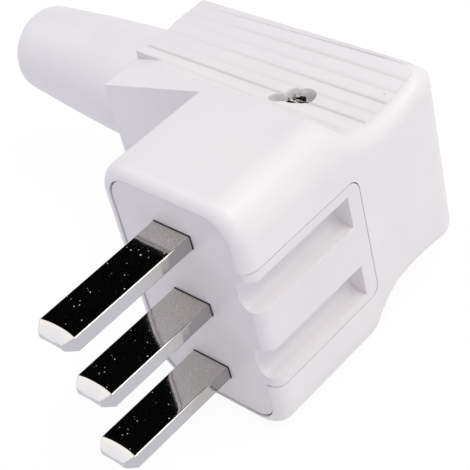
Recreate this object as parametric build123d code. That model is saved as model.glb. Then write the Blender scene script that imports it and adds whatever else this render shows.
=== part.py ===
"""Rewireable angled cooker plug with three parallel flat blades.

Frame: X runs across the blades, Y runs from the engagement face back into the
plug and Z runs along the column of blades. The origin is the centre of the
middle blade on the engagement face. The cable leaves sideways, along -X.
"""

import os
from math import radians, tan

from build123d import *

# Blades, with the terminal block that each one carries inside
BLADE_PITCH = 20.0
BLADE_WIDTH = 11.0
BLADE_THICKNESS = 3.8
BLADE_REACH = 33.2
EARTH_EXTRA = 3.4
TIP_BEVEL_LENGTH = 2.3
TIP_BEVEL_DEPTH = 1.05
TIP_CORNER_LENGTH = 2.3
TIP_CORNER_WIDTH = 1.7
SLOT_GAP = 0.1
TERMINAL_WIDTH = 13.0
TERMINAL_HEIGHT = 12.4
TERMINAL_DEPTH = 11.0

# Engagement boss of the housing
BOSS_HALF_WIDTH = 21.2
BOSS_HALF_HEIGHT = 33.0
BOSS_CORNER = 9.2
RIM_PROUD = 0.4
RIM_ROUND = 3.4
SIDE_WALL = 3.5
TOP_WALL = 2.7
SEAT_CORNER = 6.6
SEAT_DEPTH = 29.5

# Head behind the boss: each grip is a straight ramp, a valley arc and a wide arc
HEAD_LEFT = -51.3
WING_FRONT = 30.0
NECK_START = 32.5
CORNER_END = 49.0
PROFILE_END = 86.0
TOP_RAMP_LENGTH = 5.3
TOP_RAMP_ANGLE = 50.0
TOP_VALLEY_RADIUS = 14.1
TOP_GRIP_RADIUS = 42.0
BOTTOM_RAMP_LENGTH = 6.9
BOTTOM_RAMP_ANGLE = 55.0
BOTTOM_VALLEY_RADIUS = 14.4
BOTTOM_GRIP_RADIUS = 50.0
WAIST_ANGLE = 5.0
GRIP_TURN = 42.0
EDGE_ROUND = 3.8
SHOULDER_BACK = 42.0
SHOULDER_TOP = 22.4
SHOULDER_BOTTOM = -19.6
SHOULDER_ANGLE = 15.3
RIDGE_START = 44.0
RIDGE_LEFT_TOP = 24.4
RIDGE_ANGLE = 2.2
HEAD_WALL = 3.0
DOME_RADIUS = 45.5
DOME_BACK = 72.5
DOME_Z = 2.0
BACK_CORNER_START = 61.0
BACK_CORNER_RADIUS = 8.5
BACK_CORNER_TURN = 55.0
BACK_SWEEP_RADIUS = 26.2
CAVITY_TOP = 20.8
CAVITY_BOTTOM = -18.3

# Grip ribs: saw-tooth steps along X that fade towards one end
RIB_PITCH = 3.8
RIB_FIRST = 45.4
RIB_RIGHT = 17.3
RIB_DEPTHS = ((0.5, 0.25), (0.5, 0.25), (0.5, 0.35), (0.35, 0.5), (0.25, 0.6))

# Tongue of the carrier and the guide grooves in it
TONGUE_HALF_HEIGHT = 17.1
TONGUE_CORNER = 3.0
TONGUE_DEPTH = 36.0
TONGUE_WALL = 7.0
TONGUE_FRONT_ROUND = 3.0
CARRIER_GAP = 0.2
GROOVE_Z = 10.2
GROOVE_HALF_WIDTH = 4.4
GROOVE_DEPTH = 5.2
GROOVE_LENGTH = 32.0
GROOVE_CORNER = 3.0

# Carrier behind its face
FACE_THICKNESS = 9.0
BARRIER_THICKNESS = 2.6
BARRIER_DEPTH = 28.0
ARM_X = -12.0
ARM_WIDTH = 9.0
ARM_THICKNESS = 4.2
SADDLE_BACK = 45.4
SADDLE_THICKNESS = 5.2

# Cable sleeve
SLEEVE_Y = 52.6
SLEEVE_Z = 3.0
SLEEVE_LENGTH = 53.7
SLEEVE_ROOT_RADIUS = 15.6
SLEEVE_END_RADIUS = 12.0
SLEEVE_END_BEVEL = 1.6
SLEEVE_BORE_RADIUS = 9.0
SLEEVE_BORE_LAND = 12.0
SLEEVE_BORE_STEP = 2.0
SLEEVE_STEP_SPACING = 23.0
SLEEVE_NECK_RADIUS = 15.2
SLEEVE_FLANGE_RADIUS = 16.5
SLEEVE_FLANGE_WIDTH = 2.4
SLEEVE_FIT = 0.1
CABLE_RADIUS = 7.5

# Locking screw of the housing in its keyhole well
LOCK_X = -3.8
LOCK_Y = 46.4
LOCK_HEAD_RADIUS = 2.8
LOCK_HEAD_HEIGHT = 2.0
LOCK_SHANK_RADIUS = 1.75
LOCK_WASHER_THICKNESS = 0.5
LOCK_SEAT_Z = 20.0
LOCK_POST_RADIUS = 6.6
LOCK_POST_Z = 17.8
WELL_CLEARANCE = 0.3
WELL_SHIFT_X = 1.7
WELL_SHIFT_Y = 0.9
LOBE_RADIUS = 1.9
LOBE_REACH = 4.2
LOBE_ANGLE = 222.0

# Small hardware
TERMINAL_SCREW_RADIUS = 2.4
TERMINAL_SCREW_REACH = 7.0
TERMINAL_HEAD_RADIUS = 4.2
TERMINAL_HEAD_HEIGHT = 3.0
WASHER_SIZE = 10.0
WASHER_THICKNESS = 1.4
CLAMP_SCREW_RADIUS = 1.9
CLAMP_HEAD_RADIUS = 3.3
CLAMP_HEAD_HEIGHT = 2.3
CLAMP_REACH = 11.5
CLAMP_THICKNESS = 3.2
INSERT_WALL = 1.2
HOLE_GAP = 0.1
SLOT_WIDTH = 1.0
SLOT_DEPTH = 1.0

SEAT_HALF_WIDTH = BOSS_HALF_WIDTH - SIDE_WALL
SEAT_HALF_HEIGHT = BOSS_HALF_HEIGHT - TOP_WALL
DOME_Y = DOME_BACK - DOME_RADIUS
WALL_INSIDE = HEAD_LEFT + HEAD_WALL
CLAMP_FRONT = SADDLE_BACK + 2 * CABLE_RADIUS
BLOCK_BACK = FACE_THICKNESS + TERMINAL_DEPTH
HEIGHTS = {"earth_pin": BLADE_PITCH, "middle_pin": 0.0, "lower_pin": -BLADE_PITCH}
REACHES = {"earth_pin": BLADE_REACH + EARTH_EXTRA, "middle_pin": BLADE_REACH, "lower_pin": BLADE_REACH}


def across(y):
    """Return a work plane facing forward at depth y, with X right and Z up."""
    return Plane(origin=(0, y, 0), x_dir=(1, 0, 0), z_dir=(0, -1, 0))


def sideways(x):
    """Return a work plane facing +X, with Y right and Z up."""
    return Plane(origin=(x, 0, 0), x_dir=(0, 1, 0), z_dir=(1, 0, 0))


def block(x0, x1, y0, y1, z0, z1):
    """Return a box between two corners."""
    return Pos((x0 + x1) / 2, (y0 + y1) / 2, (z0 + z1) / 2) * Box(x1 - x0, y1 - y0, z1 - z0)


def push_back(sketch, y0, y1):
    """Extrude a front-view sketch from depth y0 back to depth y1."""
    return extrude(across(y0) * sketch, amount=y0 - y1)


def rod_y(x, z, radius, y0, y1):
    """Return a round rod along Y."""
    return push_back(Pos(x, z) * Circle(radius), y0, y1)


def rod_z(x, y, radius, z0, z1):
    """Return a round rod along Z."""
    return extrude(Pos(x, y, z0) * Circle(radius), amount=z1 - z0)


def rod_x(y, z, radius, x0, x1):
    """Return a round rod along X."""
    return extrude(sideways(x0) * (Pos(y, z) * Circle(radius)), amount=x1 - x0)


def grip_curve(side):
    """Return the ramp, valley and grip arc of the side view, side 1 on top and -1 below."""
    if side > 0:
        length, angle = TOP_RAMP_LENGTH, TOP_RAMP_ANGLE
        valley, grip = TOP_VALLEY_RADIUS, TOP_GRIP_RADIUS
    else:
        length, angle = BOTTOM_RAMP_LENGTH, BOTTOM_RAMP_ANGLE
        valley, grip = BOTTOM_VALLEY_RADIUS, BOTTOM_GRIP_RADIUS
    ramp = PolarLine((NECK_START, side * BOSS_HALF_HEIGHT), length, -side * angle)
    hollow = JernArc(ramp @ 1, ramp % 1, valley, side * (angle - WAIST_ANGLE))
    rise = JernArc(hollow @ 1, hollow % 1, grip, side * GRIP_TURN)
    return ramp, hollow, rise


def grip_height(rise, side, y):
    """Return how far the grip arc lies from the middle plane at depth y."""
    centre = rise.arc_center
    return side * centre.Y - (rise.radius**2 - (y - centre.X) ** 2) ** 0.5


def plan_prism(inset, front):
    """Return the plan outline of the head as a tall prism, inset from its skin."""
    right = BOSS_HALF_WIDTH - inset
    left = HEAD_LEFT + inset
    corner = JernArc((right, BACK_CORNER_START), (0, 1), BACK_CORNER_RADIUS - inset, BACK_CORNER_TURN)
    sweep = JernArc(corner @ 1, corner % 1, BACK_SWEEP_RADIUS - inset, 90 - BACK_CORNER_TURN)
    back = (sweep @ 1).Y
    rest = Polyline(sweep @ 1, (left, back), (left, front), (right, front), (right, BACK_CORNER_START))
    outline = make_face([corner, sweep, rest])
    return extrude(Pos(0, 0, -BOSS_HALF_HEIGHT) * outline, amount=2 * BOSS_HALF_HEIGHT)


def shoulder_wedge(height, side):
    """Return what the sloping shoulder takes off the front of the wing."""
    run = 2 * BOSS_HALF_HEIGHT
    rise = side * run * tan(radians(SHOULDER_ANGLE))
    outline = Polyline(
        (HEAD_LEFT - run, height - rise),
        (HEAD_LEFT + run, height + rise),
        (HEAD_LEFT + run, height + 3 * rise),
        (HEAD_LEFT - run, height + 3 * rise),
        close=True,
    )
    return push_back(make_face(outline), WING_FRONT, SHOULDER_BACK)


def rib_cutters(side):
    """Return the saw-tooth cuts of one grip face, each a loft from left to right."""
    rise = grip_curve(side)[2]
    ridge_right = RIDGE_LEFT_TOP + (RIB_RIGHT - HEAD_LEFT) * tan(radians(RIDGE_ANGLE))
    limits = (RIDGE_LEFT_TOP, ridge_right) if side > 0 else (BOSS_HALF_HEIGHT, BOSS_HALF_HEIGHT)
    cutters = []
    for index, depths in enumerate(RIB_DEPTHS):
        y0 = RIB_FIRST + index * RIB_PITCH
        y1 = y0 + RIB_PITCH
        sections = []
        for x, depth, limit in zip((HEAD_LEFT, RIB_RIGHT), depths, limits):
            z0 = min(grip_height(rise, side, y0), limit)
            z1 = min(grip_height(rise, side, y1), limit)
            tooth = Polyline(
                (y0, side * (z0 - depth)),
                (y1, side * z1),
                (y1, side * BOSS_HALF_HEIGHT),
                (y0, side * BOSS_HALF_HEIGHT),
                close=True,
            )
            sections.append(sideways(x) * make_face(tooth))
        cutters.append(loft(sections, ruled=True))
    return cutters


def make_boss():
    sheet = RectangleRounded(2 * BOSS_HALF_WIDTH, 2 * BOSS_HALF_HEIGHT, BOSS_CORNER)
    body = push_back(sheet, -RIM_PROUD, NECK_START)
    return fillet(body.edges().group_by(Axis.Y)[0], RIM_ROUND)


def make_head():
    """Return the raw head: side profile, boss corners and plan outline."""
    crest = BOSS_HALF_HEIGHT
    top = grip_curve(1)
    bottom = grip_curve(-1)
    front = Polyline((NECK_START, crest), (WING_FRONT, crest), (WING_FRONT, -crest), (NECK_START, -crest))
    top_end = top[2] @ 1
    bottom_end = bottom[2] @ 1
    back = Polyline(top_end, (PROFILE_END, top_end.Y), (PROFILE_END, bottom_end.Y), bottom_end)
    side_view = make_face([*top, *bottom, front, back])
    body = extrude(sideways(HEAD_LEFT) * side_view, amount=BOSS_HALF_WIDTH - HEAD_LEFT)
    sheet = Pos((HEAD_LEFT + BOSS_HALF_WIDTH) / 2, 0) * Rectangle(BOSS_HALF_WIDTH - HEAD_LEFT, 2 * crest)
    corners = sheet - fillet(sheet.vertices().group_by(Axis.X)[-1], BOSS_CORNER)
    body -= push_back(corners, WING_FRONT, CORNER_END)
    body &= plan_prism(0, WING_FRONT)
    return body


def edges_side(box):
    """Tell whether an edge with this box runs back along the flat right side of the head."""
    return box.min.Y > WING_FRONT and box.min.X > BOSS_HALF_WIDTH - SIDE_WALL and box.size.Y > EDGE_ROUND


def make_envelope():
    """Return the solid outer form: boss and head, rounded, domed, tilted and ribbed.

    The rounding runs on round the crest, so the crest gets its crisp edge back after it.
    """
    boss = make_boss()
    head = make_head()
    body = boss + head
    arcs = body.edges().filter_by(GeomType.CIRCLE)
    body = fillet([arc for arc in arcs if edges_side(arc.bounding_box())], EDGE_ROUND)
    crest_right = BOSS_HALF_WIDTH - BOSS_CORNER
    crest_back = NECK_START + EDGE_ROUND
    height = BOSS_HALF_HEIGHT
    body += head & block(HEAD_LEFT, crest_right, WING_FRONT, crest_back, -height, height)
    body -= shoulder_wedge(SHOULDER_TOP, 1) - boss
    body -= shoulder_wedge(SHOULDER_BOTTOM, -1) - boss
    behind = block(HEAD_LEFT, BOSS_HALF_WIDTH, WING_FRONT, PROFILE_END, -height, height)
    body -= behind - rod_x(DOME_Y, DOME_Z, DOME_RADIUS, HEAD_LEFT, BOSS_HALF_WIDTH)
    width = BOSS_HALF_WIDTH - HEAD_LEFT
    over_ridge = block(-EDGE_ROUND, 2 * width, RIDGE_START, PROFILE_END, 0, BOSS_CORNER)
    body -= Pos(HEAD_LEFT, 0, RIDGE_LEFT_TOP) * (Rot(0, -RIDGE_ANGLE, 0) * over_ridge)
    for cutter in rib_cutters(1) + rib_cutters(-1):
        body -= cutter
    return body


def seat_sheet(clearance):
    """Return the outline that the carrier's face and its seat share."""
    width = 2 * (SEAT_HALF_WIDTH - clearance)
    height = 2 * (SEAT_HALF_HEIGHT - clearance)
    return RectangleRounded(width, height, SEAT_CORNER)


def tongue_block(clearance, inside):
    """Return the tongue that fills the open side of the boss, back corners rounded."""
    back = TONGUE_DEPTH + clearance
    half = TONGUE_HALF_HEIGHT + clearance
    body = block(inside, BOSS_HALF_WIDTH, -RIM_PROUD, back, -half, half)
    return fillet(body.edges().filter_by(Axis.X).group_by(Axis.Y)[-1], TONGUE_CORNER)


def make_housing():
    body = make_envelope()
    body -= push_back(seat_sheet(0), -RIM_PROUD, SEAT_DEPTH)
    behind_seat = WING_FRONT + 2 * HEAD_WALL
    passage = block(-SEAT_HALF_WIDTH, SEAT_HALF_WIDTH, SEAT_DEPTH, behind_seat, CAVITY_BOTTOM, CAVITY_TOP)
    cavity = plan_prism(HEAD_WALL, WING_FRONT + HEAD_WALL)
    cavity &= rod_x(DOME_Y, DOME_Z, DOME_RADIUS - HEAD_WALL, WALL_INSIDE, BOSS_HALF_WIDTH)
    cavity &= block(WALL_INSIDE, BOSS_HALF_WIDTH, WING_FRONT, DOME_BACK, CAVITY_BOTTOM, CAVITY_TOP)
    cavity -= rod_z(LOCK_X, LOCK_Y, LOCK_POST_RADIUS, LOCK_POST_Z, CAVITY_TOP)
    body -= passage
    body -= cavity
    body -= tongue_block(CARRIER_GAP, SEAT_HALF_WIDTH - CARRIER_GAP)
    body -= rod_x(SLEEVE_Y, SLEEVE_Z, SLEEVE_NECK_RADIUS + SLEEVE_FIT, HEAD_LEFT, WALL_INSIDE)
    body -= rod_z(LOCK_X, LOCK_Y, LOCK_SHANK_RADIUS + HOLE_GAP, LOCK_POST_Z, LOCK_SEAT_Z)
    bore = LOCK_HEAD_RADIUS + WELL_CLEARANCE
    slot = Pos(LOBE_REACH / 2, 0) * SlotCenterToCenter(LOBE_REACH, 2 * LOBE_RADIUS)
    well = Circle(bore) + Pos(WELL_SHIFT_X, WELL_SHIFT_Y) * Circle(bore) + Rot(0, 0, LOBE_ANGLE) * slot
    body -= extrude(Pos(LOCK_X, LOCK_Y, LOCK_SEAT_Z) * well, amount=BOSS_CORNER)
    return body


def make_carrier():
    body = push_back(seat_sheet(CARRIER_GAP), 0, FACE_THICKNESS)
    tongue = tongue_block(0, BOSS_HALF_WIDTH - TONGUE_WALL)
    tongue -= block(0, BOSS_HALF_WIDTH, -RIM_PROUD, 0, -BOSS_HALF_HEIGHT, BOSS_HALF_HEIGHT)
    front_edge = tongue.edges().filter_by(Axis.Z).group_by(Axis.Y)[0].sort_by(Axis.X)[-1]
    body += fillet(front_edge, TONGUE_FRONT_ROUND)
    for side in (1, -1):
        channel = RectangleRounded(2 * GROOVE_DEPTH, 2 * GROOVE_HALF_WIDTH, GROOVE_CORNER)
        body -= push_back(Pos(BOSS_HALF_WIDTH, side * GROOVE_Z) * channel, 0, GROOVE_LENGTH)
        barrier_z = side * BLADE_PITCH / 2
        barrier = block(
            -SEAT_HALF_WIDTH + CARRIER_GAP,
            BOSS_HALF_WIDTH - TONGUE_WALL,
            FACE_THICKNESS,
            BARRIER_DEPTH,
            barrier_z - BARRIER_THICKNESS / 2,
            barrier_z + BARRIER_THICKNESS / 2,
        )
        body += barrier
    arm_left = ARM_X - ARM_WIDTH / 2
    arm_right = ARM_X + ARM_WIDTH / 2
    lug_top = LOCK_POST_Z - HOLE_GAP
    lug_floor = lug_top - ARM_THICKNESS
    arm_floor = CAVITY_BOTTOM + HOLE_GAP
    body += block(arm_left, arm_right, FACE_THICKNESS, SADDLE_BACK, lug_floor, lug_top)
    body += block(arm_left, arm_right, FACE_THICKNESS, SADDLE_BACK, arm_floor, arm_floor + ARM_THICKNESS)
    body += block(arm_left, arm_right, SADDLE_BACK - SADDLE_THICKNESS, SADDLE_BACK, arm_floor, lug_top)
    pad = LOCK_HEAD_RADIUS + 2 * INSERT_WALL
    pad_left = arm_right - INSERT_WALL
    body += block(pad_left, LOCK_X + pad, LOCK_Y - pad, LOCK_Y + pad, lug_floor, lug_top)
    pocket = RegularPolygon(LOCK_SHANK_RADIUS + HOLE_GAP + INSERT_WALL, 6)
    body -= extrude(Pos(LOCK_X, LOCK_Y, lug_top) * pocket, amount=-ARM_THICKNESS)
    pocket = RegularPolygon(CLAMP_SCREW_RADIUS + HOLE_GAP + INSERT_WALL, 6)
    for side in (1, -1):
        z = SLEEVE_Z + side * CLAMP_REACH
        body -= push_back(Pos(ARM_X, z) * pocket, SADDLE_BACK - SADDLE_THICKNESS, SADDLE_BACK)
    slot = Rectangle(BLADE_WIDTH + 2 * SLOT_GAP, BLADE_THICKNESS + 2 * SLOT_GAP)
    for height in HEIGHTS.values():
        body -= push_back(Pos(0, height) * slot, 0, FACE_THICKNESS)
    return body


def make_pin(height, reach):
    """Return a flat blade with its bevelled tip and its square terminal block."""
    half = BLADE_WIDTH / 2
    plan = Polyline(
        (-half, FACE_THICKNESS),
        (-half, -reach + TIP_CORNER_LENGTH),
        (-half + TIP_CORNER_WIDTH, -reach),
        (half - TIP_CORNER_WIDTH, -reach),
        (half, -reach + TIP_CORNER_LENGTH),
        (half, FACE_THICKNESS),
        close=True,
    )
    thick = BLADE_THICKNESS / 2
    thin = thick - TIP_BEVEL_DEPTH
    side = Polyline(
        (FACE_THICKNESS, -thick),
        (-reach + TIP_BEVEL_LENGTH, -thick),
        (-reach, -thin),
        (-reach, thin),
        (-reach + TIP_BEVEL_LENGTH, thick),
        (FACE_THICKNESS, thick),
        close=True,
    )
    body = extrude(Pos(0, 0, -thick) * make_face(plan), amount=BLADE_THICKNESS)
    body &= extrude(sideways(-half) * make_face(side), amount=BLADE_WIDTH)
    terminal = push_back(Rectangle(TERMINAL_WIDTH, TERMINAL_HEIGHT), FACE_THICKNESS, BLOCK_BACK)
    body += chamfer(terminal.edges().filter_by(Axis.Y), SLOT_WIDTH)
    hole_floor = BLOCK_BACK - TERMINAL_SCREW_REACH - SLOT_WIDTH
    body -= rod_y(0, 0, TERMINAL_SCREW_RADIUS + HOLE_GAP, hole_floor, BLOCK_BACK)
    return Pos(0, 0, height) * body


def make_washer(height):
    sheet = Rectangle(WASHER_SIZE, WASHER_SIZE) - Circle(TERMINAL_SCREW_RADIUS + HOLE_GAP)
    return push_back(Pos(0, height) * sheet, BLOCK_BACK, BLOCK_BACK + WASHER_THICKNESS)


def make_screw(head_radius, head_height, shank_radius, reach):
    """Return a slotted screw along +Z with its seat at the origin, shank below."""
    head = extrude(Circle(head_radius), amount=head_height)
    head = chamfer(head.edges().group_by(Axis.Z)[-1], head_height / 6)
    head -= Pos(0, 0, head_height) * Box(2 * head_radius, SLOT_WIDTH, 2 * SLOT_DEPTH)
    return head + Pos(0, 0, -reach) * extrude(Circle(shank_radius), amount=reach)


def insert_sheet(shank_radius):
    """Return the section of a six-sided threaded insert for a screw."""
    hole = shank_radius + HOLE_GAP
    return RegularPolygon(hole + INSERT_WALL, 6) - Circle(hole)


def make_sleeve():
    root = HEAD_LEFT
    tip = HEAD_LEFT - SLEEVE_LENGTH
    flange = WALL_INSIDE + SLEEVE_FLANGE_WIDTH
    profile = Polyline(
        (root, SLEEVE_ROOT_RADIUS),
        (tip + SLEEVE_END_BEVEL, SLEEVE_END_RADIUS),
        (tip, SLEEVE_END_RADIUS - SLEEVE_END_BEVEL),
        (tip, 0),
        (flange, 0),
        (flange, SLEEVE_FLANGE_RADIUS),
        (WALL_INSIDE, SLEEVE_FLANGE_RADIUS),
        (WALL_INSIDE, SLEEVE_NECK_RADIUS),
        (root, SLEEVE_NECK_RADIUS),
        close=True,
    )
    body = revolve(make_face(profile), Axis.X)
    body -= rod_x(0, 0, SLEEVE_BORE_RADIUS, tip, flange)
    for step in (1, 2):
        start = tip + SLEEVE_BORE_LAND + (step - 1) * SLEEVE_STEP_SPACING
        body -= rod_x(0, 0, SLEEVE_BORE_RADIUS + step * SLEEVE_BORE_STEP, start, flange)
    return Pos(0, SLEEVE_Y, SLEEVE_Z) * body


def make_clamp_bar():
    half = CLAMP_REACH + CLAMP_HEAD_RADIUS
    body = block(
        ARM_X - ARM_WIDTH / 2,
        ARM_X + ARM_WIDTH / 2,
        CLAMP_FRONT,
        CLAMP_FRONT + CLAMP_THICKNESS,
        SLEEVE_Z - half,
        SLEEVE_Z + half,
    )
    body = fillet(body.edges().filter_by(Axis.Y), 2 * INSERT_WALL)
    for side in (1, -1):
        z = SLEEVE_Z + side * CLAMP_REACH
        hole = CLAMP_SCREW_RADIUS + HOLE_GAP
        body -= rod_y(ARM_X, z, hole, CLAMP_FRONT, CLAMP_FRONT + CLAMP_THICKNESS)
    return body


if __name__ == "__main__":
    os.makedirs("parts", exist_ok=True)
    back_facing = Rot(-90, 0, 0)
    nodes = {
        "housing": make_housing(),
        "pin_carrier": make_carrier(),
        "cable_sleeve": make_sleeve(),
        "cord_clamp_bar": make_clamp_bar(),
    }
    terminal_reach = TERMINAL_SCREW_REACH + WASHER_THICKNESS
    terminal_screw = back_facing * make_screw(
        TERMINAL_HEAD_RADIUS, TERMINAL_HEAD_HEIGHT, TERMINAL_SCREW_RADIUS, terminal_reach
    )
    for name, height in HEIGHTS.items():
        label = name.replace("_pin", "")
        nodes[name] = make_pin(height, REACHES[name])
        nodes[label + "_washer"] = make_washer(height)
        nodes[label + "_terminal_screw"] = Pos(0, BLOCK_BACK + WASHER_THICKNESS, height) * terminal_screw
    clamp_back = CLAMP_FRONT + CLAMP_THICKNESS
    clamp_screw_reach = clamp_back - SADDLE_BACK + SADDLE_THICKNESS
    clamp_screw = back_facing * make_screw(
        CLAMP_HEAD_RADIUS, CLAMP_HEAD_HEIGHT, CLAMP_SCREW_RADIUS, clamp_screw_reach
    )
    for label, side in (("upper", 1), ("lower", -1)):
        z = SLEEVE_Z + side * CLAMP_REACH
        sheet = Pos(ARM_X, z) * insert_sheet(CLAMP_SCREW_RADIUS)
        nodes[label + "_clamp_screw"] = Pos(ARM_X, clamp_back, z) * clamp_screw
        nodes[label + "_clamp_insert"] = push_back(sheet, SADDLE_BACK - SADDLE_THICKNESS, SADDLE_BACK)
    lug_top = LOCK_POST_Z - HOLE_GAP
    lock_washer = Circle(LOCK_HEAD_RADIUS) - Circle(LOCK_SHANK_RADIUS + HOLE_GAP)
    lock_reach = LOCK_SEAT_Z + LOCK_WASHER_THICKNESS - lug_top + ARM_THICKNESS
    lock_screw = make_screw(LOCK_HEAD_RADIUS, LOCK_HEAD_HEIGHT, LOCK_SHANK_RADIUS, lock_reach)
    lock_ring = insert_sheet(LOCK_SHANK_RADIUS)
    nodes["lock_insert"] = extrude(Pos(LOCK_X, LOCK_Y, lug_top) * lock_ring, amount=-ARM_THICKNESS)
    lock_seat = Pos(LOCK_X, LOCK_Y, LOCK_SEAT_Z)
    nodes["lock_washer"] = lock_seat * extrude(lock_washer, amount=LOCK_WASHER_THICKNESS)
    nodes["lock_screw"] = lock_seat * Pos(0, 0, LOCK_WASHER_THICKNESS) * lock_screw
    for name, shape in nodes.items():
        export_step(shape, f"parts/{name}.step")
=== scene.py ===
"""Studio scene of the angled cooker plug: finishes, fitted pieces, lights and camera.

Lengths in the plug's own classes are millimetres, as in the part, and become metres when a mesh
or a node is made. The studio's own lengths are metres. X runs across the blades, Y from the
engagement face back into the plug and Z up the column.
"""

import logging
from dataclasses import dataclass, field
from enum import Enum
from math import cos, radians, sin
from typing import Any

import bmesh
import bpy
import numpy as np
from mathutils import Matrix, Vector


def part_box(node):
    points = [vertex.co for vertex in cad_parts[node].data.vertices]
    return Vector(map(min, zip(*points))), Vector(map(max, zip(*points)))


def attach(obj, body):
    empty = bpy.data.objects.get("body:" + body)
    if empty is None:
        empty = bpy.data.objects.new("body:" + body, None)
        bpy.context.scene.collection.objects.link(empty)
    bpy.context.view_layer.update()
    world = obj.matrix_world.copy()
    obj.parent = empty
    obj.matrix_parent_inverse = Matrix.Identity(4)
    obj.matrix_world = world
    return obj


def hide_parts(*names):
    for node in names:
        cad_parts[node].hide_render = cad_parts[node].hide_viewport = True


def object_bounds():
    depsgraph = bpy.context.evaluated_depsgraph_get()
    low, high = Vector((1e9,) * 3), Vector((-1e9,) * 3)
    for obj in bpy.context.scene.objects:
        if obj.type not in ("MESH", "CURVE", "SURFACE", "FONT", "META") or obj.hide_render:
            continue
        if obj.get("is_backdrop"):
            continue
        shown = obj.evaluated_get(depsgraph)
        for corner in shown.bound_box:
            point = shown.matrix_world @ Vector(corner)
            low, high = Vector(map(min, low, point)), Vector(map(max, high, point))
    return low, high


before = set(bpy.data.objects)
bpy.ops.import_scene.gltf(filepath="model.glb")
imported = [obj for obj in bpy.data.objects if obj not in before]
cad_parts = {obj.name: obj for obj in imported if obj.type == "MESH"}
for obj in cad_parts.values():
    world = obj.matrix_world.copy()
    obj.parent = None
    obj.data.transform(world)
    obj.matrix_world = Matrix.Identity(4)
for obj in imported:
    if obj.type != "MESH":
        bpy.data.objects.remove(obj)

MM = 0.001
BODY = "root"
LOG = logging.getLogger("cooker_plug")
Triple = tuple[float, float, float]
Colour = Triple
Span = tuple[float, float]

# Square of the normal's upright share, from sideways to facing up or down.
FACING_SPAN: Span = (0.7, 0.95)
# Cosine of the angle between the true and the softened normal, from flat to an edge that gets a painted
# highlight.
EDGE_SPAN: Span = (0.99, 0.82)
# Width of a speck's soft rim, as a share of its largest radius.
SPECK_RIM = 0.2
BEVEL_SAMPLES = 6
SHARP_ANGLE = 38.0


class Slot(Enum):
    """Names of the record's material slots for the new pieces' finishes."""

    BLADE = "plated_blade"
    SLEEVE = "sleeve_rubber"


@dataclass(frozen=True)
class Specks:
    """Small round specks, one at most in each cell of a pattern.

    The pitch is a cell's size in millimetres, the share is that of the cells with a speck, and
    the radius is that of the largest speck as a share of the pitch.
    """

    pitch: float
    share: float
    radius: float


class Value:
    """One number that varies over a surface; Python operators on it add Math nodes."""

    def __init__(self, graph: "Graph", socket: bpy.types.NodeSocket) -> None:
        """Wrap an output socket of the graph."""
        self.graph = graph
        self.socket = socket

    def __add__(self, other: Any) -> "Value":
        """Return self + other."""
        return self.graph.math("ADD", self, other)

    def __radd__(self, other: Any) -> "Value":
        """Return other + self."""
        return self.graph.math("ADD", other, self)

    def __sub__(self, other: Any) -> "Value":
        """Return self - other."""
        return self.graph.math("SUBTRACT", self, other)

    def __rsub__(self, other: Any) -> "Value":
        """Return other - self."""
        return self.graph.math("SUBTRACT", other, self)

    def __mul__(self, other: Any) -> "Value":
        """Return self * other."""
        return self.graph.math("MULTIPLY", self, other)

    def __rmul__(self, other: Any) -> "Value":
        """Return other * self."""
        return self.graph.math("MULTIPLY", other, self)

    def ramp(self, low: float, high: float) -> "Value":
        """Return 0 below low, 1 above high and a smooth climb between them.

        Args:
            low: Value at which the climb starts.
            high: Value at which it ends, which may be below low for a fall.

        Returns:
            The remapped value.
        """
        sockets = {"Value": self, "From Min": low, "From Max": high}
        node = self.graph.node("ShaderNodeMapRange", {"interpolation_type": "SMOOTHSTEP"}, sockets)
        return Value(self.graph, node.outputs["Result"])

    def unsigned(self) -> "Value":
        """Return self without its sign."""
        return self.graph.math("ABSOLUTE", self, 0.0)

    def at_most(self, other: Any) -> "Value":
        """Return the smaller of self and other."""
        return self.graph.math("MINIMUM", self, other)

    def at_least(self, other: Any) -> "Value":
        """Return the larger of self and other."""
        return self.graph.math("MAXIMUM", self, other)


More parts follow.
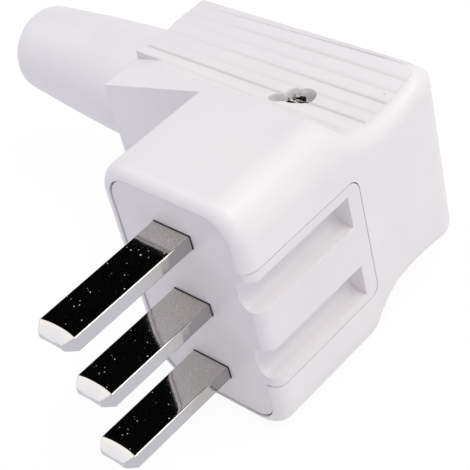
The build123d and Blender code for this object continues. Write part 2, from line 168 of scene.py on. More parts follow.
class Graph:
    """Node tree of a material or of the world, with one way of adding a node."""

    def __init__(self, tree: bpy.types.NodeTree) -> None:
        """Empty the tree and keep it."""
        tree.nodes.clear()
        self.tree = tree

    def node(self, kind: str, settings: dict[str, Any], sockets: dict[Any, Any]) -> bpy.types.Node:
        """Add a node.

        Args:
            kind: Blender's name of the node type.
            settings: Properties of the node, set before its sockets.
            sockets: A value, a wrapped value or an output socket for each input by name or index.

        Returns:
            The new node.
        """
        node = self.tree.nodes.new(kind)
        for name, setting in settings.items():
            setattr(node, name, setting)
        for key, given in sockets.items():
            source = given.socket if isinstance(given, Value) else given
            if isinstance(source, bpy.types.NodeSocket):
                self.tree.links.new(source, node.inputs[key])
            else:
                node.inputs[key].default_value = source
        return node

    def math(self, operation: str, first: Any, second: Any) -> Value:
        """Return one Math node's result on two numbers or values."""
        node = self.node("ShaderNodeMath", {"operation": operation}, {0: first, 1: second})
        return Value(self, node.outputs[0])

    def place(self) -> bpy.types.NodeSocket:
        """Return the Object coordinates, in metres."""
        return self.node("ShaderNodeTexCoord", {}, {}).outputs["Object"]

    def stretched(self, scale: Triple) -> bpy.types.NodeSocket:
        """Return the Object coordinates stretched by a factor on each axis."""
        sockets = {"Vector": self.place(), "Scale": scale}
        return self.node("ShaderNodeMapping", {}, sockets).outputs["Vector"]

    def along(self, axis: int) -> Value:
        """Return one Object coordinate, in millimetres."""
        split = self.node("ShaderNodeSeparateXYZ", {}, {0: self.place()})
        return Value(self, split.outputs[axis]) * (1.0 / MM)

    def noise(self, grain: float, detail: float = 2.0, place: Any = None) -> Value:
        """Return cloudy noise from 0 to 1.

        Args:
            grain: Size of one cloud in millimetres.
            detail: How many finer layers it has.
            place: Coordinates to read, or None for the Object coordinates.

        Returns:
            The noise.
        """
        sockets = {"Vector": place or self.place(), "Scale": 1.0 / (grain * MM), "Detail": detail}
        return Value(self, self.node("ShaderNodeTexNoise", {}, sockets).outputs[0])

    def facing_up(self) -> Value:
        """Return 1 where the surface faces up or down and 0 where it faces sideways."""
        normal = self.node("ShaderNodeTexCoord", {}, {}).outputs["Normal"]
        upright = Value(self, self.node("ShaderNodeSeparateXYZ", {}, {0: normal}).outputs[2])
        return (upright * upright).ramp(*FACING_SPAN)

    def specks(self, kind: Specks, place: Any = None) -> Value:
        """Return a mask of specks on a Voronoi pattern.

        A cell keeps its speck when its own random number is above one minus the share, and the
        speck's radius grows with what is left of that number.

        Args:
            kind: The specks' pitch, share and radius.
            place: Coordinates to read, or None for the Object coordinates.

        Returns:
            1 inside a speck and 0 elsewhere.
        """
        sockets = {"Vector": place or self.place(), "Scale": 1.0 / (kind.pitch * MM)}
        cells = self.node("ShaderNodeTexVoronoi", {}, sockets).outputs
        lot = self.node("ShaderNodeSeparateColor", {}, {"Color": cells["Color"]}).outputs[0]
        spare = (Value(self, lot) - (1.0 - kind.share)).at_least(0.0) * (kind.radius / kind.share)
        return (spare - Value(self, cells["Distance"])).ramp(0.0, SPECK_RIM * kind.radius)

    def blend(self, factor: Any, first: Any, second: Any) -> bpy.types.NodeSocket:
        """Return a colour between two colours.

        Args:
            factor: 0 for the first, 1 for the second.
            first: Colour triple or colour socket.
            second: Colour triple or colour socket.

        Returns:
            The blended colour's socket.
        """
        pair = [(*colour, 1.0) if isinstance(colour, tuple) else colour for colour in (first, second)]
        sockets = {0: factor, 6: pair[0], 7: pair[1]}
        return self.node("ShaderNodeMix", {"data_type": "RGBA"}, sockets).outputs[2]

    def rounded(self, edge: float) -> bpy.types.NodeSocket:
        """Return the normal with its sharp edges softened by a radius in millimetres."""
        settings = {"samples": BEVEL_SAMPLES}
        return self.node("ShaderNodeBevel", settings, {"Radius": edge * MM}).outputs[0]

    def edge_nearness(self, rounded: bpy.types.NodeSocket) -> Value:
        """Return how near a sharp edge is: 0 on a face and up to 1 where the softened normal turns."""
        plain = self.node("ShaderNodeNewGeometry", {}, {}).outputs["Normal"]
        node = self.node("ShaderNodeVectorMath", {"operation": "DOT_PRODUCT"}, {0: plain, 1: rounded})
        return Value(self, node.outputs["Value"]).ramp(*EDGE_SPAN)

    def bump(self, height: Value, depth: float, rounded: bpy.types.NodeSocket) -> bpy.types.NodeSocket:
        """Return a softened normal with relief on it.

        Args:
            height: Relief from 0 to 1.
            depth: Depth of the relief in millimetres.
            rounded: Normal to start from.

        Returns:
            The normal's socket.
        """
        sockets = {"Strength": 1.0, "Distance": depth * MM, "Height": height, "Normal": rounded}
        return self.node("ShaderNodeBump", {}, sockets).outputs["Normal"]

    def surface(self, sockets: dict[str, Any]) -> None:
        """Finish the tree with one Principled shader on these sockets."""
        shader = self.node("ShaderNodeBsdfPrincipled", {}, sockets)
        self.node("ShaderNodeOutputMaterial", {}, {"Surface": shader.outputs[0]})


def new_material(name: str) -> tuple[bpy.types.Material, Graph]:
    """Return a new material and the graph of its emptied node tree."""
    material = bpy.data.materials.new(name)
    material.use_nodes = True
    return material, Graph(material.node_tree)


@dataclass(frozen=True)
class MouldedPlastic:
    """Injection-moulded white plastic with faint clouds, dust specks, a fine grained skin and a painted
    highlight on its sharp edges.
    """

    name: str
    colour: Colour
    cloud: Colour
    dust: Colour = (0.30, 0.26, 0.22)
    # Colour of the painted shade behind the rib teeth and of the dark joint line.
    shade_joint_colour: Colour = (0.60, 0.575, 0.565)
    # Painted highlight: a lighter colour on sharp edges, where the softened normal turns away from the true
    # one.
    edge_highlight: Colour = (0.93, 0.915, 0.91)
    edge_highlight_cover: float = 0.8
    roughness: float = 0.34
    roughness_spread: float = 0.14
    refraction: float = 1.46
    cloud_grain: float = 22.0
    cloud_span: Span = (0.3, 0.7)
    skin_grain: float = 1.7
    skin_depth: float = 0.012
    skin_share: float = 0.6
    flow_grain: float = 6.0
    flow_stretch: Triple = (0.25, 1.0, 1.0)
    flow_share: float = 0.8
    dust_specks: Specks = Specks(5.0, 0.2, 0.055)
    dust_cover: float = 0.8
    dust_roughness: float = 0.2
    edge_round: float = 0.28

    def tooth_shade_and_joint(self, graph: Graph) -> Any:
        """Return how much painted shade and dark joint line lie at each point, which is none on plain faces."""
        return 0.0

    def material(self) -> bpy.types.Material:
        """Return the finish as a material."""
        material, graph = new_material(self.name)
        clouds = graph.noise(self.cloud_grain, detail=3.0).ramp(*self.cloud_span)
        skin = graph.noise(self.skin_grain, detail=3.0)
        flow = graph.noise(self.flow_grain, place=graph.stretched(self.flow_stretch))
        dust = graph.specks(self.dust_specks)
        rounded = graph.rounded(self.edge_round)
        clean = graph.blend(clouds, self.colour, self.cloud)
        # Painted highlight along the sharp edges.
        clean = graph.blend(graph.edge_nearness(rounded) * self.edge_highlight_cover, clean, self.edge_highlight)
        # Painted shade behind the rib teeth, and the dark joint line.
        body = graph.blend(self.tooth_shade_and_joint(graph), clean, self.shade_joint_colour)
        rough = self.roughness + (skin - 0.5) * self.roughness_spread + dust * self.dust_roughness
        relief = skin * self.skin_share + flow * self.flow_share
        graph.surface(
            {
                "Base Color": graph.blend(dust * self.dust_cover, body, self.dust),
                "Roughness": rough,
                "IOR": self.refraction,
                "Normal": graph.bump(relief, self.skin_depth, rounded),
            }
        )
        return material


@dataclass(frozen=True)
class RibbedPlastic(MouldedPlastic):
    """Moulded plastic whose saw-tooth finger ribs get a painted shade line behind each tooth.

    The ribs run along X from rib_left to rib_right, and their teeth follow one another along Y
    from rib_first to rib_last. A rise or a fall is a pair of distances past an edge or a line, from
    where the painted shade, and likewise the joint line, is gone to where it is full.
    """

    rib_first: float = 45.4
    rib_last: float = 64.4
    rib_pitch: float = 3.8
    rib_left: float = -51.3
    rib_right: float = 17.3
    rib_level: float = 8.0
    level_share: float = 1.2
    front_rise: Span = (-0.3, 0.0)
    back_fall: Span = (1.2, 1.0)
    right_fall: Span = (0.0, -1.0)
    tooth_rise: Span = (0.05, 0.5)
    tooth_fall: Span = (1.55, 0.5)
    tooth_cover: float = 0.85
    first_fall: Span = (3.0, 1.5)
    even_share: float = 0.62
    swing_share: float = 0.38
    joint_back: float = 40.3
    joint_slope: float = -0.03
    joint_half: float = 0.14
    joint_fall: Span = (2.2, 1.0)
    joint_cover: float = 0.55
    joint_right_fall: Span = (0.0, -2.0)
    joint_left_rise: Span = (0.0, 0.6)
    second_pitch: float = 0.95
    second_fall: Span = (2.0, 0.5)
    second_share: float = 0.6

    def _teeth(self, graph: Graph) -> Value:
        """Return the painted shade line behind the teeth.

        A line lies behind each tooth, at the same remainder of the distance from the first tooth
        divided by the pitch. The lines grow stronger towards the right end, apart from the
        first, which is strong all along, and every other one is faint: its strength is a share
        less a cosine that turns once in two pitches.
        """
        x, y = graph.along(0), graph.along(1)
        from_first, from_last, from_right = y - self.rib_first, y - self.rib_last, x - self.rib_right
        behind = graph.math("FLOORED_MODULO", from_first, self.rib_pitch)
        # Painted shade: a dark line just behind each tooth's step, stronger towards the right.
        line = behind.ramp(*self.tooth_rise) * behind.ramp(*self.tooth_fall) * self.tooth_cover
        inside = from_first.ramp(*self.front_rise) * from_last.ramp(*self.back_fall)
        inside = inside * from_right.ramp(*self.right_fall)
        fade = x.ramp(self.rib_left, self.rib_right).at_least(from_first.ramp(*self.first_fall))
        swing = graph.math("COSINE", from_last * (np.pi / self.rib_pitch), 0.0)
        every_other = self.even_share - self.swing_share * swing
        return line * inside * fade * every_other * graph.facing_up()

    def _joint(self, graph: Graph) -> Value:
        """Return the fine double line at the ribs' foot, which leans a little across the head."""
        x, y = graph.along(0), graph.along(1)
        foot = y - x * self.joint_slope - self.joint_back
        outer, inner = (share * self.joint_half for share in self.joint_fall)
        line = foot.unsigned().ramp(outer, inner)
        outer, inner = (share * self.joint_half for share in self.second_fall)
        second = (foot - self.second_pitch).unsigned().ramp(outer, inner) * self.second_share
        ends = (x - self.rib_right).ramp(*self.joint_right_fall)
        ends = ends * (x - self.rib_left).ramp(*self.joint_left_rise)
        return line.at_least(second) * ends * self.joint_cover

    def tooth_shade_and_joint(self, graph: Graph) -> Value:
        """Return the painted shade behind the teeth and the dark joint line, on the upper and lower sides of
        the head only.
        """
        z = graph.along(2)
        outside = (z * z).ramp(self.rib_level**2, (self.level_share * self.rib_level) ** 2)
        return (self._teeth(graph) + self._joint(graph)) * outside


@dataclass(frozen=True)
class PlatedMetal:
    """Bright nickel plate with drawn lines, a dull grainy bloom at the root, white dust, a painted shadow band
    where it goes into the carrier and a painted reflection tint on its narrow sides.

    A reach is a pair of places along Y, from where an effect starts to where it is full.
    """

    name: str
    colour: Colour
    bloom: Colour
    # Painted reflection: the narrow sides take this darker, bluer plate colour instead of the flat faces'
    # colour.
    side: Colour = (0.51, 0.505, 0.54)
    dust: Colour = (0.86, 0.86, 0.84)
    # Painted shadow: a dark band on the blade just in front of the engagement face, where it goes into the
    # carrier.
    root_shade: Colour = (0.03, 0.028, 0.025)
    roughness: float = 0.05
    bloom_roughness: float = 0.07
    bloom_reach: Span = (-20.0, -8.0)
    bloom_top: float = 0.75
    bloom_side: float = 0.5
    grain: float = 0.22
    grain_span: Span = (0.42, 0.66)
    grain_share: float = 0.4
    line_grain: float = 0.5
    line_stretch: Triple = (1.0, 0.05, 1.0)
    line_share: float = 0.5
    line_depth: float = 0.0008
    fine_dust: Specks = Specks(0.72, 0.34, 0.25)
    coarse_dust: Specks = Specks(1.45, 0.26, 0.18)
    drift_grain: float = 8.0
    drift_span: Span = (0.38, 0.58)
    drift_share: float = 0.6
    middle_back_reach: Span = (-9.0, -14.0)
    middle_front_reach: Span = (-27.0, -17.0)
    coarse_reach: Span = (-14.0, -20.0)
    coarse_least: float = 0.5
    dust_height: float = 2.0
    dust_roughness: float = 0.7
    root_shade_width: float = 0.34
    root_shade_rim: float = 0.06
    edge_round: float = 0.05

    def _dust(self, graph: Graph) -> Value:
        """Return the dust on the flat faces.

        Fine specks gather in drifts and near the middle of the blade, and coarse ones grow more
        visible towards the tip. Both patterns are flat, so that a speck is the same at any height.
        """
        flat = graph.stretched((1.0, 1.0, 0.0))
        drift = graph.noise(self.drift_grain, place=flat).ramp(*self.drift_span)
        y = graph.along(1)
        middle = y.ramp(*self.middle_back_reach) * y.ramp(*self.middle_front_reach)
        gather = (drift * self.drift_share + middle).at_most(1.0) * drift
        front = y.ramp(*self.coarse_reach) * (1.0 - self.coarse_least) + self.coarse_least
        fine = graph.specks(self.fine_dust, flat) * gather
        return fine.at_least(graph.specks(self.coarse_dust, flat) * front)

    def material(self) -> bpy.types.Material:
        """Return the finish as a material."""
        material, graph = new_material(self.name)
        lines = graph.noise(self.line_grain, detail=3.0, place=graph.stretched(self.line_stretch))
        grain = graph.noise(self.grain).ramp(*self.grain_span)
        y = graph.along(1)
        root = y.ramp(*self.bloom_reach)
        up = graph.facing_up()
        dust = self._dust(graph) * up
        # Painted shadow band at the blade's root.
        root_shade = y.ramp(-self.root_shade_width - self.root_shade_rim, -self.root_shade_width)
        dull = root * (up * grain * self.bloom_top + (1.0 - up) * self.bloom_side)
        # The narrow sides get the side colour, a painted reflection.
        plate = graph.blend(dull, graph.blend(up, self.side, self.colour), self.bloom)
        rough = self.roughness + root * grain * self.bloom_roughness
        relief = lines * self.line_share + grain * root * self.grain_share + dust * self.dust_height
        graph.surface(
            {
                "Base Color": graph.blend(root_shade, graph.blend(dust, plate, self.dust), self.root_shade),
                "Metallic": (1.0 - dust) * (1.0 - root_shade),
                "Roughness": rough + (dust + root_shade) * self.dust_roughness,
                "Normal": graph.bump(relief, self.line_depth, graph.rounded(self.edge_round)),
            }
        )
        return material


@dataclass(frozen=True)
class TurnedMetal:
    """Small turned hardware: rings from the tool, darker in patches. On most parts the patches are stains; on
    the bright lock screw and washer they are painted dark reflections.
    """

    name: str
    colour: Colour
    stain_and_dark_reflection: Colour
    roughness: float = 0.28
    ring_grain: float = 0.22
    ring_stretch: Triple = (0.35, 0.35, 1.0)
    ring_depth: float = 0.006
    ring_roughness: float = 0.12
    stain_grain: float = 2.4
    stain_span: Span = (0.45, 0.7)
    stain_cover: float = 0.6
    stain_roughness: float = 0.1
    edge_round: float = 0.12

    def material(self) -> bpy.types.Material:
        """Return the finish as a material."""
        material, graph = new_material(self.name)
        rings = graph.noise(self.ring_grain, place=graph.stretched(self.ring_stretch))
        stain_and_dark_reflection = graph.noise(self.stain_grain, detail=4.0).ramp(*self.stain_span)
        graph.surface(
            {
                "Base Color": graph.blend(stain_and_dark_reflection * self.stain_cover, self.colour, self.stain_and_dark_reflection),
                "Metallic": 1.0,
                "Roughness": self.roughness + rings * self.ring_roughness + stain_and_dark_reflection * self.stain_roughness,
                "Normal": graph.bump(rings, self.ring_depth, graph.rounded(self.edge_round)),
            }
        )
        return material


SHELL_WHITE = RibbedPlastic("shell_white", (0.84, 0.81, 0.805), (0.81, 0.785, 0.785))
CARRIER_WHITE = MouldedPlastic("carrier_white", (0.815, 0.785, 0.79), (0.785, 0.76, 0.77), roughness=0.38)
SLEEVE_WHITE = MouldedPlastic(
    "sleeve_white",
    (0.83, 0.805, 0.805),
    (0.805, 0.78, 0.785),
    roughness=0.46,
    cloud_grain=14.0,
    skin_grain=2.6,
    skin_depth=0.016,
)
NICKEL_PLATE = PlatedMetal("nickel_plate", (0.60, 0.58, 0.555), (0.38, 0.35, 0.31))
ZINC_STEEL = TurnedMetal("zinc_steel", (0.60, 0.60, 0.58), (0.20, 0.19, 0.17))
# Near-white mirror steel in near-black patches at full cover: painted dark reflections on the lock screw and
# washer in the well.
SCREW_STEEL = TurnedMetal(
    "screw_steel",
    (0.93, 0.93, 0.92),
    (0.01, 0.01, 0.01),
    roughness=0.06,
    ring_depth=0.002,
    stain_grain=1.1,
    stain_cover=1.0,
)
INSERT_BRASS = TurnedMetal("insert_brass", (0.72, 0.54, 0.26), (0.35, 0.24, 0.10))


def dress(piece: bpy.types.Object, finish: bpy.types.Material) -> None:
    """Give a piece or a carried-over node one material in every slot."""
    if not piece.data.materials:
        piece.data.materials.append(finish)
    for index in range(len(piece.data.materials)):
        piece.data.materials[index] = finish


def adopt(piece: bpy.types.Object, slot: Slot, *nodes: str) -> None:
    """Let a new piece ride on the plug and stand for CAD nodes.

    Args:
        piece: The new piece.
        slot: The record's slot that its finish belongs to; not used.
        nodes: Names of the nodes that it replaces.
    """
    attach(piece, BODY)
    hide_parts(*nodes)
    LOG.info("piece %s: %d vertices, stands for %s", piece.name, len(piece.data.vertices), ", ".join(nodes))


def corners(node: str) -> np.ndarray:
    """Return a CAD node's lowest and highest corners as rows, in millimetres."""
    return np.array(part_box(node)) / MM


def loft(name: str, rings: np.ndarray, closed: bool) -> bpy.types.Object:
    """Make a closed skin through a stack of rings that have the same number of points.

    Face (i, j) joins points (i, j), (i, j + 1), (i + 1, j + 1) and (i + 1, j), with j counted
    round. A closed stack joins its last ring to its first, and an open one gets a flat face at
    each end.

    Args:
        name: Name of the object.
        rings: Array of rings by points by three, in millimetres.
        closed: Whether the stack runs round to its start.

    Returns:
        The new object, smooth shaded, with its sharp edges marked and its flat faces kept flat.
    """
    count, around = rings.shape[:2]
    index = np.arange(count * around).reshape(count, around)
    ahead = np.roll(index, -1, axis=1)
    quads = np.stack([index, ahead, np.roll(ahead, -1, axis=0), np.roll(index, -1, axis=0)], axis=-1)
    if closed:
        faces = quads.reshape(-1, 4).tolist()
    else:
        faces = quads[:-1].reshape(-1, 4).tolist() + [index[0][::-1].tolist(), index[-1].tolist()]
    mesh = bpy.data.meshes.new(name)
    mesh.from_pydata(rings.reshape(-1, 3) * MM, [], faces)
    work = bmesh.new()
    work.from_mesh(mesh)
    bmesh.ops.recalc_face_normals(work, faces=work.faces)
    work.to_mesh(mesh)
    work.free()
    mesh.shade_smooth()
    mesh.set_sharp_from_angle(angle=radians(SHARP_ANGLE))
    piece = bpy.data.objects.new(name, mesh)
    bpy.context.scene.collection.objects.link(piece)
    flat = piece.modifiers.new("flat_faces", "WEIGHTED_NORMAL")
    flat.keep_sharp = True
    return piece


@dataclass
class Shell:
    """Housing, pin carrier and cord clamp bar, which keep their CAD meshes and get their plastics."""

    nodes: dict[str, MouldedPlastic] = field(
        default_factory=lambda: {
            "housing": SHELL_WHITE,
            "pin_carrier": CARRIER_WHITE,
            "cord_clamp_bar": CARRIER_WHITE,
        }
    )

    def build(self) -> None:
        """Dress each node of the shell."""
        for node, finish in self.nodes.items():
            dress(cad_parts[node], finish.material())
            LOG.info("node %s: finish %s", node, finish.name)


@dataclass
class Blades:
    """The three flat blades with their hand-finished tips and their terminal blocks.

    Each blade's height, its reach and its terminal block's size come from its node's box. A
    bevel share of 1 is the tip and 0 is where the bevel ends.
    """

    nodes: tuple[str, ...] = ("earth_pin", "middle_pin", "lower_pin")
    half_width: float = 5.5
    half_thickness: float = 1.9
    edge_round: float = 0.42
    bevel_length: float = 2.3
    bevel_bow: float = 0.5
    bevel_depth: float = 1.0
    bevel_dip: float = 0.35
    bevel_shares: tuple[float, ...] = (0.66, 0.33, 0.0)
    corner_width: float = 1.7
    tip_round: float = 0.12
    tip_edge_share: float = 0.5
    shank_start: float = 1.35
    shank_middle: float = 0.5
    root_y: float = 9.0
    block_corner: float = 1.2
    hole_radius: float = 2.5
    hole_floor: float = 12.0
    corner_steps: int = 6
    side_steps: int = 11

    def _section(self) -> np.ndarray:
        """Return the points of a unit section as rows of (core x, core z, corner x, corner z).

        A rounded rectangle is its core, a smaller rectangle, plus a corner radius times a
        direction. Each corner turns through a quarter circle, and the long sides have evenly
        spaced points between the corners.
        """
        rows = []
        for turn, (core_x, core_z) in enumerate(((1, 1), (-1, 1), (-1, -1), (1, -1))):
            angle = np.linspace(turn * np.pi / 2, (turn + 1) * np.pi / 2, self.corner_steps)
            core = np.tile((core_x, core_z), (self.corner_steps, 1))
            rows.append(np.column_stack([core, np.cos(angle), np.sin(angle)]))
            if turn % 2 == 0:
                between = np.linspace(core_x, -core_x, self.side_steps + 2)[1:-1]
                level = np.full(self.side_steps, core_z)
                rows.append(np.column_stack([between, level, np.zeros(self.side_steps), level]))
        return np.vstack(rows)

    def _ring(self, unit: np.ndarray, y: Any, width: float, height: Any, radius: float) -> np.ndarray:
        """Return one ring: core times (size - radius), plus radius times the corner direction."""
        x = unit[:, 0] * (width - radius) + unit[:, 2] * radius
        z = unit[:, 1] * (height - radius) + unit[:, 3] * radius
        return np.column_stack([x, np.broadcast_to(y, x.shape), z])

    def _tip_ring(self, unit: np.ndarray, tip: float, share: float, inset: float = 0.0) -> np.ndarray:
        """Return one ring of the bevelled tip.

        Across the blade the bevel starts further back by a bow of one minus the square of the
        distance from the middle, and it is deeper there by a dip of the same form.

        Args:
            unit: Points of the unit section.
            tip: Y of the tip's end.
            share: Place along the bevel.
            inset: How far the ring is drawn in on all sides.

        Returns:
            The ring.
        """
        crown = 1.0 - unit[:, 0] ** 2
        y = tip + (self.bevel_length + self.bevel_bow * crown) * (1.0 - share)
        width = self.half_width - self.corner_width * share - inset
        height = self.half_thickness - (self.bevel_depth + self.bevel_dip * crown) * share - inset
        radius = self.edge_round * (1.0 - self.tip_edge_share * share) - inset
        return self._ring(unit, y, width, height, radius)

    def _rings(self, node: str) -> np.ndarray:
        """Return one blade's rings from the tip back to the floor of the screw hole."""
        low, high = corners(node)
        tip, block_back = low[1], high[1]
        block_half = (high - low) / 2
        unit = self._section()
        rings = [
            self._tip_ring(unit, tip, 1.0, self.tip_round),
            self._tip_ring(unit, tip + self.tip_round, 1.0),
        ]
        rings += [self._tip_ring(unit, tip, share) for share in self.bevel_shares]
        for y in (tip + self.shank_start * self.bevel_length, tip * self.shank_middle, self.root_y):
            rings.append(self._ring(unit, y, self.half_width, self.half_thickness, self.edge_round))
        for y in (self.root_y, block_back):
            rings.append(self._ring(unit, y, block_half[0], block_half[2], self.block_corner))
        angle = np.arctan2(rings[-1][:, 2], rings[-1][:, 0])
        circle = self.hole_radius * np.column_stack([np.cos(angle), np.zeros_like(angle), np.sin(angle)])
        rings.append(circle + (0.0, block_back, 0.0))
        rings.append(circle + (0.0, self.hole_floor, 0.0))
        return np.array(rings) + (0.0, 0.0, (low[2] + high[2]) / 2)

    def build(self) -> None:
        """Make the three blades and plate them."""
        plate = NICKEL_PLATE.material()
        for node in self.nodes:
            piece = loft(f"{node}_plated", self._rings(node), closed=False)
            dress(piece, plate)
            adopt(piece, Slot.BLADE, node)


@dataclass
class Hardware:
    """Screws, washers and inserts, which keep their CAD meshes."""

    bright: tuple[str, ...] = ("lock_screw", "lock_washer")
    steel: tuple[str, ...] = (
        "earth_terminal_screw",
        "middle_terminal_screw",
        "lower_terminal_screw",
        "upper_clamp_screw",
        "lower_clamp_screw",
    )
    brass: tuple[str, ...] = (
        "lock_insert",
        "upper_clamp_insert",
        "lower_clamp_insert",
        "earth_washer",
        "middle_washer",
        "lower_washer",
    )

    def build(self) -> None:
        """Dress the hardware."""
        for names, finish in ((self.bright, SCREW_STEEL), (self.steel, ZINC_STEEL), (self.brass, INSERT_BRASS)):
            material = finish.material()
            for name in names:
                dress(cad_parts[name], material)
            LOG.info("hardware %s: finish %s", ", ".join(names), finish.name)


@dataclass
class CableSleeve:
    """Soft tapered sleeve that guards the cable, turned about an axis along X.

    The axis, the free end, the inner end and the flange's radius come from the node's box. The
    wing's wall lies between root_x and wall_inside_x.
    """

    node: str = "cable_sleeve"
    root_x: float = -51.3
    wall_inside_x: float = -48.3
    root_radius: float = 15.6
    tip_radius: float = 12.0
    bulge: float = 0.45
    tip_round: float = 2.1
    tip_length: float = 4.2
    lip_round: float = 0.7
    bore_radius: float = 9.0
    neck_radius: float = 15.2
    land: float = 12.0
    bore_step: float = 2.0
    step_spacing: float = 23.0
    taper_steps: int = 60
    turn_steps: int = 14
    around: int = 160

    def _outside(self, tip: float) -> np.ndarray:
        """Return the outer side as rows of (x, radius), from the root round into the mouth.

        It is a straight taper plus a bulge that follows half a sine wave. It turns into the end
        face on a quarter ellipse, and that turns into the bore on a quarter circle.
        """
        start = tip + self.tip_length
        along = np.linspace(0.0, 1.0, self.taper_steps)
        taper = self.root_radius + (self.tip_radius - self.root_radius) * along
        side_r = taper + self.bulge * np.sin(np.pi * along)
        side = np.column_stack([self.root_x + (start - self.root_x) * along, side_r])
        turn = np.linspace(0.0, np.pi / 2, self.turn_steps)[1:]
        nose_r = self.tip_radius - self.tip_round + self.tip_round * np.cos(turn)
        nose = np.column_stack([start - self.tip_length * np.sin(turn), nose_r])
        lip_r = self.bore_radius - self.lip_round * (np.sin(turn) - 1.0)
        lip = np.column_stack([tip + self.lip_round * (1.0 - np.cos(turn)), lip_r])
        return np.vstack([side, nose, lip])

    def profile(self) -> np.ndarray:
        """Return the closed half section as rows of (x, radius).

        The bore widens to the root in two steps, and the flange and the neck hold the wall.
        """
        low, high = corners(self.node)
        tip, inner_end = low[0], high[0]
        flange_radius = (high[1] - low[1]) / 2
        steps_x = tip + self.land + self.step_spacing * np.array([0.0, 0.0, 1.0, 1.0])
        steps_r = self.bore_radius + self.bore_step * np.array([0.0, 1.0, 1.0, 2.0])
        hold = np.array(
            [
                (inner_end, steps_r[-1]),
                (inner_end, flange_radius),
                (self.wall_inside_x, flange_radius),
                (self.wall_inside_x, self.neck_radius),
                (self.root_x, self.neck_radius),
            ]
        )
        return np.vstack([self._outside(tip), np.column_stack([steps_x, steps_r]), hold])

    def build(self) -> None:
        """Turn the half section into a closed skin.

        Point (i, j) is the section's point i turned by angle j about the sleeve's axis.
        """
        axis = corners(self.node).mean(axis=0)
        section = self.profile()
        angle = np.linspace(0.0, 2 * np.pi, self.around, endpoint=False)
        x = np.repeat(section[:, :1], self.around, axis=1)
        y = axis[1] + np.outer(section[:, 1], np.cos(angle))
        z = axis[2] + np.outer(section[:, 1], np.sin(angle))
        piece = loft("sleeve_skin", np.stack([x, y, z], axis=-1), closed=True)
        dress(piece, SLEEVE_WHITE.material())
        adopt(piece, Slot.SLEEVE, self.node)


@dataclass(frozen=True)
class CameraRig:
    """Camera at the photograph's viewing angle."""

    azimuth: float = 51.45
    elevation: float = 40.07
    roll: float = -15.03
    distance: float = 332.5
    aim_right: float = -9.11
    aim_down: float = 14.7
    lens: float = 115.3
    sensor: float = 36.0
    nearest: float = 10.0

    def axes(self) -> np.ndarray:
        """Return the camera's right, down and forward directions as rows.

        The camera sits on the azimuth and elevation, looks back at the origin and is then
        rolled about its own line of sight.
        """
        azimuth, elevation, roll = (radians(angle) for angle in (self.azimuth, self.elevation, self.roll))
        out = np.array([sin(azimuth) * cos(elevation), -cos(azimuth) * cos(elevation), sin(elevation)])
        right = np.cross(-out, (0.0, 0.0, 1.0))
        right /= np.linalg.norm(right)
        down = -np.cross(right, -out)
        turn = np.array([[cos(roll), -sin(roll), 0.0], [sin(roll), cos(roll), 0.0], [0.0, 0.0, 1.0]])
        return turn @ np.array([right, down, -out])

    def build(self) -> None:
        """Create the camera and make it the scene's camera."""
        axes = self.axes()
        place = axes.T @ np.array([-self.aim_right, -self.aim_down, -self.distance]) * MM
        data = bpy.data.cameras.new("camera")
        data.lens = self.lens
        data.sensor_width = self.sensor
        data.clip_start = self.nearest * MM
        camera = bpy.data.objects.new("camera", data)
        turned = np.column_stack([axes[0], -axes[1], -axes[2]])
        camera.matrix_world = Matrix.Translation(Vector(place)) @ Matrix(turned.tolist()).to_4x4()
        bpy.context.scene.collection.objects.link(camera)
        bpy.context.scene.camera = camera


@dataclass(frozen=True)
class Softbox:
    """One square area lamp that looks at the plug."""

    name: str
    towards: Triple
    distance: float
    width: float
    power: float
    colour: Colour

    def build(self) -> None:
        """Create the lamp."""
        data = bpy.data.lights.new(self.name, "AREA")
        data.shape = "SQUARE"
        data.size = self.width
        data.energy = self.power
        data.color = self.colour
        lamp = bpy.data.objects.new(self.name, data)
        out = Vector(self.towards).normalized()
        turn = out.to_track_quat("Z", "Y").to_matrix().to_4x4()
        lamp.matrix_world = Matrix.Translation(out * self.distance) @ turn
        lamp.visible_camera = False
        bpy.context.scene.collection.objects.link(lamp)


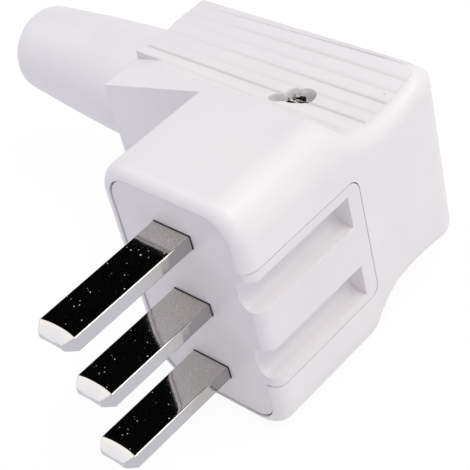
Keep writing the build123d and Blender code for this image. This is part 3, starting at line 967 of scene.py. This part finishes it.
@dataclass
class Studio:
    """Pale floor, white surround, a black card for the blades to mirror, and softboxes.

    The floor lies a gap below the plug, so that the housing's flat side doesn't share its plane.
    """

    floor_gap: float = 0.00005
    floor_half: float = 3.0
    floor_pale: Colour = (0.87, 0.87, 0.87)
    floor_cool: Colour = (0.86, 0.86, 0.87)
    mottle_grain: float = 60.0
    mottle_span: Span = (0.2, 0.8)
    glow: float = 1.05
    glow_share: float = 0.86
    card_towards: Triple = (-0.60, 0.48, 0.64)
    card_distance: float = 1.2
    card_half: float = 0.44
    card_colour: Colour = (0.004, 0.004, 0.004)
    ambient: float = 0.63
    ambient_colour: Colour = (0.95, 0.945, 1.105)
    lamps: tuple[Softbox, ...] = (
        Softbox("key_softbox", (0.45, 0.18, 0.875), 1.2, 0.8, 6.5, (1.0, 0.99, 0.82)),
        Softbox("edge_softbox", (-0.56, -0.28, 0.77), 1.2, 0.98, 1.5, (1.0, 0.985, 0.95)),
        Softbox("side_softbox", (0.86, -0.40, 0.30), 1.3, 0.9, 0.6, (0.97, 0.97, 1.0)),
    )

    def _card(self, name: str, outline: np.ndarray, finish: bpy.types.Material) -> bpy.types.Object:
        """Return one four-cornered stage card."""
        mesh = bpy.data.meshes.new(name)
        mesh.from_pydata(outline, [], [(0, 1, 2, 3)])
        card = bpy.data.objects.new(name, mesh)
        mesh.materials.append(finish)
        bpy.context.scene.collection.objects.link(card)
        card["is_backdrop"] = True
        return card

    def _seen(self, graph: Graph) -> Value:
        """Return 1 for a ray that shows the surroundings: from the camera, a mirror or glass."""
        rays = graph.node("ShaderNodeLightPath", {}, {}).outputs
        seen = Value(graph, rays["Is Camera Ray"])
        for kind in ("Is Glossy Ray", "Is Transmission Ray"):
            seen = seen.at_least(Value(graph, rays[kind]))
        return seen

    def floor(self) -> None:
        """Lay the pale floor, which shows mostly white but keeps a soft shadow."""
        material, graph = new_material("floor_white")
        mottle = graph.noise(self.mottle_grain).ramp(*self.mottle_span)
        colour = graph.blend(mottle, self.floor_pale, self.floor_cool)
        matt = graph.node("ShaderNodeBsdfDiffuse", {}, {"Color": colour}).outputs[0]
        glow = graph.node("ShaderNodeEmission", {}, {"Strength": self.glow}).outputs[0]
        sockets = {0: self._seen(graph) * self.glow_share, 1: matt, 2: glow}
        mixed = graph.node("ShaderNodeMixShader", {}, sockets).outputs[0]
        graph.node("ShaderNodeOutputMaterial", {}, {"Surface": mixed})
        half = self.floor_half
        flat = np.array([(-half, -half), (half, -half), (half, half), (-half, half)])
        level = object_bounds()[0][2] - self.floor_gap
        self._card("floor", np.column_stack([flat, np.full(4, level)]), material)

    def black_card(self) -> None:
        """Hang the black card that only mirrors see."""
        material, graph = new_material("card_black")
        matt = graph.node("ShaderNodeBsdfDiffuse", {}, {"Color": (*self.card_colour, 1.0)}).outputs[0]
        graph.node("ShaderNodeOutputMaterial", {}, {"Surface": matt})
        out = np.array(self.card_towards) / np.linalg.norm(self.card_towards)
        side = np.cross(out, (0.0, 0.0, 1.0))
        side /= np.linalg.norm(side)
        rise = np.cross(side, out)
        signs = np.array([(-1, -1), (1, -1), (1, 1), (-1, 1)])
        outline = out * self.card_distance + self.card_half * (signs[:, :1] * side + signs[:, 1:] * rise)
        card = self._card("black_card", outline, material)
        card.visible_camera = False
        card.visible_diffuse = False
        card.visible_shadow = False

    def surround(self) -> None:
        """Make the world white to look at and a plain soft light to be lit by."""
        world = bpy.data.worlds.new("surround")
        world.use_nodes = True
        bpy.context.scene.world = world
        graph = Graph(world.node_tree)
        light = tuple(self.ambient * channel for channel in self.ambient_colour)
        colour = graph.blend(self._seen(graph), light, (1.0, 1.0, 1.0))
        shader = graph.node("ShaderNodeBackground", {}, {"Color": colour, "Strength": 1.0})
        graph.node("ShaderNodeOutputWorld", {}, {"Surface": shader.outputs[0]})

    def build(self) -> None:
        """Set up the floor, card, surround and lamps."""
        self.floor()
        self.black_card()
        self.surround()
        for lamp in self.lamps:
            lamp.build()
        bpy.context.scene.view_settings.view_transform = "Standard"


def main() -> None:
    """Build the plug's pieces and its studio."""
    logging.basicConfig(level=logging.INFO, format="%(name)s: %(message)s")
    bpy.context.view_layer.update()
    CameraRig().build()
    Studio().build()
    for part in (Shell(), Blades(), CableSleeve(), Hardware()):
        part.build()


if __name__ == "__main__":
    main()
